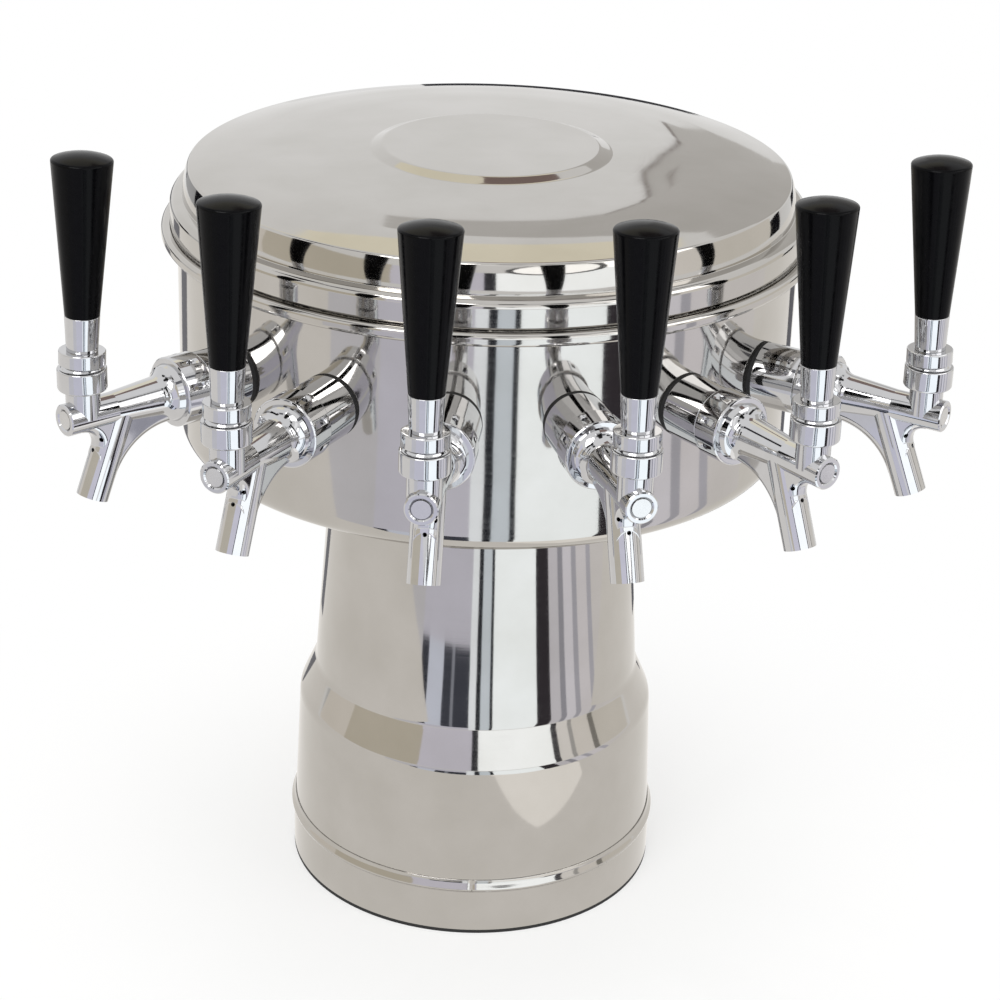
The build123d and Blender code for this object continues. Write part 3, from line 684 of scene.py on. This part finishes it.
def makeCups():
    # the collar under each ferrule, hollow over the bonnet's dome
    h = handle
    rimAngle = math.asin(h["cupLow"] / h["cupHollow"])
    topAngle = math.acos(h["stem"] / h["cupHollow"])
    outline = [
        (h["stem"], h["cupTop"], h["fineEdge"]), (h["cup"], h["cupTop"], h["cupEdge"]),
        (h["cup"], h["cupLow"], h["cupRim"]),
    ]
    for k in range(h["cupSteps"] + 1):
        angle = rimAngle + (topAngle - rimAngle) * k / h["cupSteps"]
        outline.append((h["cupHollow"] * math.cos(angle), h["cupHollow"] * math.sin(angle), 0))
    one = placed(spun("leverCup", outline, chrome, steps=96), alongLever)
    eachTap(one, "LeverCup", "chrome")


def makeKnobs():
    h = handle
    outline = [
        (0, h["stemTop"], 0), (h["stem"], h["stemTop"], h["fineEdge"]),
        (h["stem"], h["ferruleTop"], h["boreEdge"]), (h["knobFoot"], h["ferruleTop"], h["knobFootEdge"]),
        (h["knobRadius"], h["knobTop"], h["knobEdge"]),
    ]
    # the crown is a shallow arc over the knob's end
    rise, reach = h["crown"], h["knobRadius"]
    arc = (rise * rise + reach * reach) / (2 * rise)
    middle = h["knobTop"] + rise - arc
    for share in h["crownRings"]:
        outline.append((reach * share, middle + math.sqrt(arc * arc - (reach * share) ** 2), 0))
    outline.append((0, middle + arc, 0))
    one = placed(spun("knob", outline, black, steps=96, closed=False), alongLever)
    eachTap(one, "Knob", "black_plastic", "tap%d_knob")


makeCollars()
makeNuts()
makeBonnets()
makeFerrules()
makeCups()
makeKnobs()
print("tap fittings and handles made")


# CAD nodes that keep their own shape
kept = {
    chrome: ["tap%d_body", "tap%d_lever"],
    rodSteel: ["tap%d_plunger"],
    plainSteel: ["tap%d_shank", "lock_nuts", "lock_washers", "tail_nuts", "mounting_ring"],
    nylon: ["tap%d_seat", "coupling_washers", "ball_washers"],
    rubber: ["wall_gaskets", "base_gasket"],
    tubeSteel: ["beer_lines", "cooling_tube"],
    foam: ["foam_sleeve"],
}
for material, names in kept.items():
    for name in names:
        members = [name % n for n in range(1, taps["count"] + 1)] if "%d" in name else [name]
        for member in members:
            mesh = nodes[member].data
            mesh.materials.clear()
            mesh.materials.append(material)
print("kept nodes painted")


# floor, light and camera; sizes in metres, angles in degrees round from the front
def onCircle(angle, away, height):
    a = math.radians(angle)
    return (away * math.sin(a), -away * math.cos(a), height)


def seenRays(tree):
    # 1 for what is seen straight on, in a reflection or through a clear piece, otherwise 0
    rays = addNode(tree, "ShaderNodeLightPath")
    direct = addNode(tree, "ShaderNodeMath", {"operation": "ADD", "use_clamp": True},
                     {0: rays.outputs["Is Camera Ray"], 1: rays.outputs["Is Glossy Ray"]})
    seen = addNode(tree, "ShaderNodeMath", {"operation": "ADD", "use_clamp": True},
                   {0: direct.outputs[0], 1: rays.outputs["Is Transmission Ray"]})
    return seen.outputs[0]


floorLook = {
    "size": 12.0, "colour": "#F4F4F2", "roughness": 0.9,
    "shade": 0.4, "near": 0.12, "far": 0.42,  # share of lit surface by the foot, and where it fades out
}


def makeFloor():
    # a pale floor for the light that falls on it, plain white where it is seen
    f = floorLook
    h = f["size"] / 2
    mesh = bpy.data.meshes.new("studioFloor")
    mesh.from_pydata([(-h, -h, 0), (h, -h, 0), (h, h, 0), (-h, h, 0)], [], [(0, 1, 2, 3)])
    floor = newObject("studioFloor", mesh)
    material, tree, surface, place = newMaterial(
        "paperFloor", Base_Color=hexColour(f["colour"]), Roughness=f["roughness"])
    glow = addNode(tree, "ShaderNodeEmission", Color=(1, 1, 1, 1), Strength=1.0)
    # part of the lit surface stays in the mix, so the object's shadow shows
    away = addNode(tree, "ShaderNodeVectorMath", {"operation": "LENGTH"}, {0: place})
    plain = addNode(tree, "ShaderNodeMapRange", {"interpolation_type": "SMOOTHSTEP"},
                    {"Value": away.outputs["Value"]},
                    From_Min=f["near"], From_Max=f["far"], To_Min=1 - f["shade"], To_Max=1.0)
    share = mathNode(tree, "MULTIPLY", seenRays(tree), plain.outputs[0])
    mix = addNode(tree, "ShaderNodeMixShader", links={0: share, 1: surface.outputs[0], 2: glow.outputs[0]})
    tree.links.new(mix.outputs[0], tree.nodes["Material Output"].inputs["Surface"])
    mesh.materials.append(material)


worldLook = {"lit": 0.55, "seen": 1.0}


def makeWorld():
    world = bpy.data.worlds.new("softStudio")
    bpy.context.scene.world = world
    world.use_nodes = True
    tree = world.node_tree
    dim = tree.nodes["Background"]
    dim.inputs["Color"].default_value = (1, 1, 1, 1)
    dim.inputs["Strength"].default_value = worldLook["lit"]
    bright = addNode(tree, "ShaderNodeBackground", Color=(1, 1, 1, 1), Strength=worldLook["seen"])
    mix = addNode(tree, "ShaderNodeMixShader",
                  links={0: seenRays(tree), 1: dim.outputs[0], 2: bright.outputs[0]})
    tree.links.new(mix.outputs[0], tree.nodes["World Output"].inputs["Surface"])


def newCard(name, corners, colour, strength):
    # a card that only shows in reflections, as a flag or a panel beside the set would
    mesh = bpy.data.meshes.new(name)
    mesh.from_pydata(corners, [], [tuple(range(len(corners)))])
    material = bpy.data.materials.new(name)
    material.use_nodes = True
    tree = material.node_tree
    glow = addNode(tree, "ShaderNodeEmission", Color=hexColour(colour), Strength=strength)
    tree.links.new(glow.outputs[0], tree.nodes["Material Output"].inputs["Surface"])
    mesh.materials.append(material)
    card = newObject(name, mesh)
    card.visible_camera = False
    card.visible_diffuse = False
    card.visible_shadow = False
    card.visible_transmission = False


def wedge(start, end, near, far, height, widest=4):
    # corners of a piece of ring on the floor, with one for every few degrees
    count = max(2, int(abs(end - start) / widest) + 1)
    angles = [start + (end - start) * k / (count - 1) for k in range(count)]
    return [onCircle(a, near, height) for a in angles] + [onCircle(a, far, height) for a in reversed(angles)]


def upright(start, end, away, low, high):
    # corners of a flat panel that stands on the circle round the object
    return [onCircle(start, away, low), onCircle(end, away, low),
            onCircle(end, away, high), onCircle(start, away, high)]


# what lies on the table: the polished column and drum mirror it
cards = {
    "gain": 2.2, "near": 0.18, "far": 1.5, "layer": 0.001, "turn": -5.1,
    # streaks that run outwards in front, each by the two directions of the walls that mirror it
    "front": [
        (-34.0, -17.5, "#A3A3A8"), (-17.5, -1.7, "#A5A5B0"), (-1.7, 0.5, "#C9CED4"), (0.5, 1.9, "#1F2025"),
        (1.9, 4.8, "#AEB6BE"), (4.8, 5.7, "#1F2025"), (5.7, 19.8, "#DBE1E5"), (19.8, 24.4, "#2A272B"),
        (24.4, 28.0, "#A9A8AE"), (28.0, 30.0, "#7E7E86"), (30.0, 33.5, "#B4B3BA"), (33.5, 35.5, "#8E8E96"),
        (35.5, 40.0, "#B2B0B4"), (40.0, 42.0, "#94949C"), (42.0, 60.0, "#AFADAD"),
    ],
    # shorter streaks over them
    "low": [
        (-17.5, -15.2, "#2A2C34"), (-15.2, -10.2, "#A9AEBB"), (-10.2, -1.7, "#34363E"),
        (-7.5, -6.6, "#70737C"),
    ],
    "lowFar": 0.58, "lowLift": 1.2, "lowLayer": 0.2,
    # the table's uneven front edge, and the pale patch on it
    "edge": [
        (-1.6, -1.0), (-0.763, -0.477), (-0.361, -0.415), (-0.218, -0.335), (-0.14, -0.33), (0.0, -0.35),
        (0.23, -0.27), (0.35, -0.1), (0.414, -0.073), (0.697, 0.061), (1.6, 0.5),
    ],
    "back": [(1.6, 1.6), (-1.6, 1.6)], "table": "#B0AEAB",
    "patch": [(0.025, -0.35), (0.025, -0.314), (0.1025, -0.197), (0.225, -0.15), (0.26, -0.2), (0.2, -0.29)],
    "patchTone": "#C9C7C4",
    "rear": [(138, 150, "#4A4A4E"), (168, 186, "#3C3C40"), (208, 218, "#5A5A5E")], "rearNear": 0.36,
}


def makeCards():
    c = cards

    def streak(name, start, end, far, height, tone):
        # a wall that faces one way mirrors what lies at twice that angle
        corners = wedge(2 * start + c["turn"], 2 * end + c["turn"], c["near"], far, height)
        newCard(name, corners, tone, c["gain"])

    for number, (start, end, tone) in enumerate(c["front"]):
        streak("frontCard%02d" % number, start, end, c["far"], c["layer"], tone)
    for number, (start, end, tone) in enumerate(c["low"]):
        height = c["layer"] * (c["lowLift"] + c["lowLayer"] * number)
        streak("lowCard%d" % number, start, end, c["lowFar"], height, tone)
    newCard("tableCard", [(x, y, 2 * c["layer"]) for x, y in c["edge"] + c["back"]], c["table"], c["gain"])
    newCard("glowCard", [(x, y, 3 * c["layer"]) for x, y in c["patch"]], c["patchTone"], c["gain"])
    for number, (start, end, tone) in enumerate(c["rear"]):
        corners = wedge(start, end, c["rearNear"], c["far"], 3 * c["layer"])
        newCard("backCard%d" % number, corners, tone, c["gain"])


# light and dark panels all round, as a shop would have them: what bright chrome mirrors
lowRing = {
    "away": 2.0, "foot": 0.02, "top": 0.85, "topBehind": 0.36,
    "tones": [
        (0, 46, "#E2E6E9"), (46, 50, "#3A393C"), (50, 58, "#BDBBB9"), (58, 61, "#8A8988"),
        (61, 74, "#B5B2AE"), (74, 78, "#6A6864"), (78, 115, "#ABA8A2"), (115, 124, "#17171B"),
        (124, 140, "#F2F2F2"), (140, 150, "#2C2D31"), (150, 165, "#D9DADB"), (165, 178, "#3A3A3E"),
        (178, 196, "#F2F2F2"), (196, 205, "#6C6D72"), (205, 222, "#B9BABC"), (222, 232, "#17171B"),
        (232, 245, "#D9DADB"), (245, 270, "#AEAAA4"), (270, 322, "#9C978C"), (322, 354, "#ABAAB5"),
        (354, 358, "#2A2A2E"), (358, 360, "#E2E6E9"),
    ],
}
highRing = {
    "away": 1.5, "foot": 1.9, "top": 2.6, "widths": (7, 22), "last": 350, "seed": 7,
    "tones": ("#2A2A2E", "#E8E8E8", "#7A7B80", "#F2F2F2"),
}
behind = (115, 245)  # the lid mirrors this side, so the high ring leaves it open


def makeRings():
    for number, (start, end, tone) in enumerate(lowRing["tones"]):
        isBehind = behind[0] <= start < behind[1]
        top = lowRing["topBehind"] if isBehind else lowRing["top"]
        corners = upright(start, end, lowRing["away"], lowRing["foot"], top)
        newCard("lowPanel%02d" % number, corners, tone, 1.0 if isBehind else cards["gain"])
    choose = random.Random(highRing["seed"])
    turn, number = 0.0, 0
    while turn < highRing["last"]:
        width = choose.uniform(*highRing["widths"])
        if not behind[0] < turn < behind[1]:
            tone = highRing["tones"][number % len(highRing["tones"])]
            end = min(360, turn + width)
            corners = upright(turn, end, highRing["away"], highRing["foot"], highRing["top"])
            newCard("highPanel%02d" % number, corners, tone, 1.0)
        turn += width
        number += 1


# a long window in front, a warm one high behind and a brown beam on this side of it
windows = {
    "frontWindow": (upright(-8, 52, 2.2, 1.25, 1.7), "#FFFFFF", 1.3),
    "warmWindow": ([(-0.9, 1.7, 1.75), (0.7, 1.7, 1.75), (0.7, 1.7, 3.3), (-0.9, 1.7, 3.3)], "#F6F0DC", 1.2),
    "brownBeam": ([(0.03, 0.6, 2.2), (0.05, 1.58, 2.2), (0.85, 1.42, 2.2), (0.6, 0.5, 2.2)], "#94827D", 1.0),
}

# a board behind the right of the lid; its trimmed edge is uneven, so the mirrored line wanders
board = {
    "away": 2.2, "tone": "#D6D4D1",
    "edge": [(167, 0.8), (166.6, 1.0), (167.5, 1.18), (167.3, 1.36), (168.8, 1.5), (171, 1.56), (175, 1.59),
             (181, 1.61)],
    "corners": [(181, 1.72), (128, 1.72), (128, 0.8)],
    "trimAway": 2.19, "trim": [(0, 0.22, "#8F8783"), (1.05, 1.3, "#A39C98")],
}


def makeBoard():
    corners = [onCircle(a, board["away"], z) for a, z in board["edge"] + board["corners"]]
    newCard("boardBehind", corners, board["tone"], 1.0)
    for number, (start, end, tone) in enumerate(board["trim"]):
        strip = [onCircle(a - start, board["trimAway"], z) for a, z in board["edge"]]
        strip += [onCircle(a - end, board["trimAway"], z) for a, z in reversed(board["edge"])]
        newCard("boardTrim%d" % number, strip, tone, 1.0)


# a round lamp over the viewer's shoulder: a dark rim with the bright disc in front
roundLamp = {
    "turn": 19, "height": 0.9, "wide": 1.7, "tall": 0.55, "points": 32,
    "discs": [(0.34, 1.84, "#6A6A6C", 1.0), (0.28, 1.8, "#FFFFFF", 2.0)],
}


def makeRoundLamp():
    r = roundLamp
    for size, away, tone, strength in r["discs"]:
        ring = []
        for k in range(r["points"]):
            a = 2 * math.pi * k / r["points"]
            turn = r["turn"] + math.degrees(size * r["wide"] * math.cos(a) / away)
            ring.append(onCircle(turn, away, r["height"] + r["tall"] * size * math.sin(a)))
        newCard("roundLamp%d" % int(100 * size), ring, tone, strength)


softboxes = {
    "keySoftbox": {"size": (1.2, 1.2), "place": (-0.9, -1.6, 1.9), "aim": (0, -0.1, 0.3), "power": 26},
    "fillSoftbox": {"size": (1.6, 1.4), "place": (1.8, -1.2, 1.3), "aim": (0, 0, 0.3), "power": 12},
    "topSoftbox": {"size": (1.6, 1.6), "place": (0.1, 0.3, 2.4), "aim": (0, 0, 0.3), "power": 22,
                   "mirrored": False},
}


def makeLights():
    for name, box in softboxes.items():
        light = bpy.data.lights.new(name, "AREA")
        light.shape = "RECTANGLE"
        light.size, light.size_y = box["size"]
        light.energy = box["power"]
        lamp = newObject(name, light)
        lamp.location = box["place"]
        towards = Vector(box["aim"]) - Vector(box["place"])
        lamp.rotation_euler = towards.to_track_quat("-Z", "Y").to_euler()
        lamp.visible_glossy = box.get("mirrored", True)


view = {
    "place": (-0.11823, -1.32473, 0.8361), "turn": (65.3797, -1.7466, -4.7897), "lens": 90.5335,
    "sensor": 36.0,
}


def makeCamera():
    lens = bpy.data.cameras.new("shelfView")
    lens.lens = view["lens"]
    lens.sensor_width = view["sensor"]
    camera = newObject("shelfView", lens)
    camera.location = view["place"]
    camera.rotation_euler = [math.radians(a) for a in view["turn"]]
    bpy.context.scene.camera = camera


makeFloor()
makeWorld()
makeCards()
makeRings()
for name, (corners, tone, strength) in windows.items():
    newCard(name, corners, tone, strength)
makeBoard()
makeRoundLamp()
makeLights()
makeCamera()
bpy.context.scene.view_settings.view_transform = "Standard"
print("stage made")
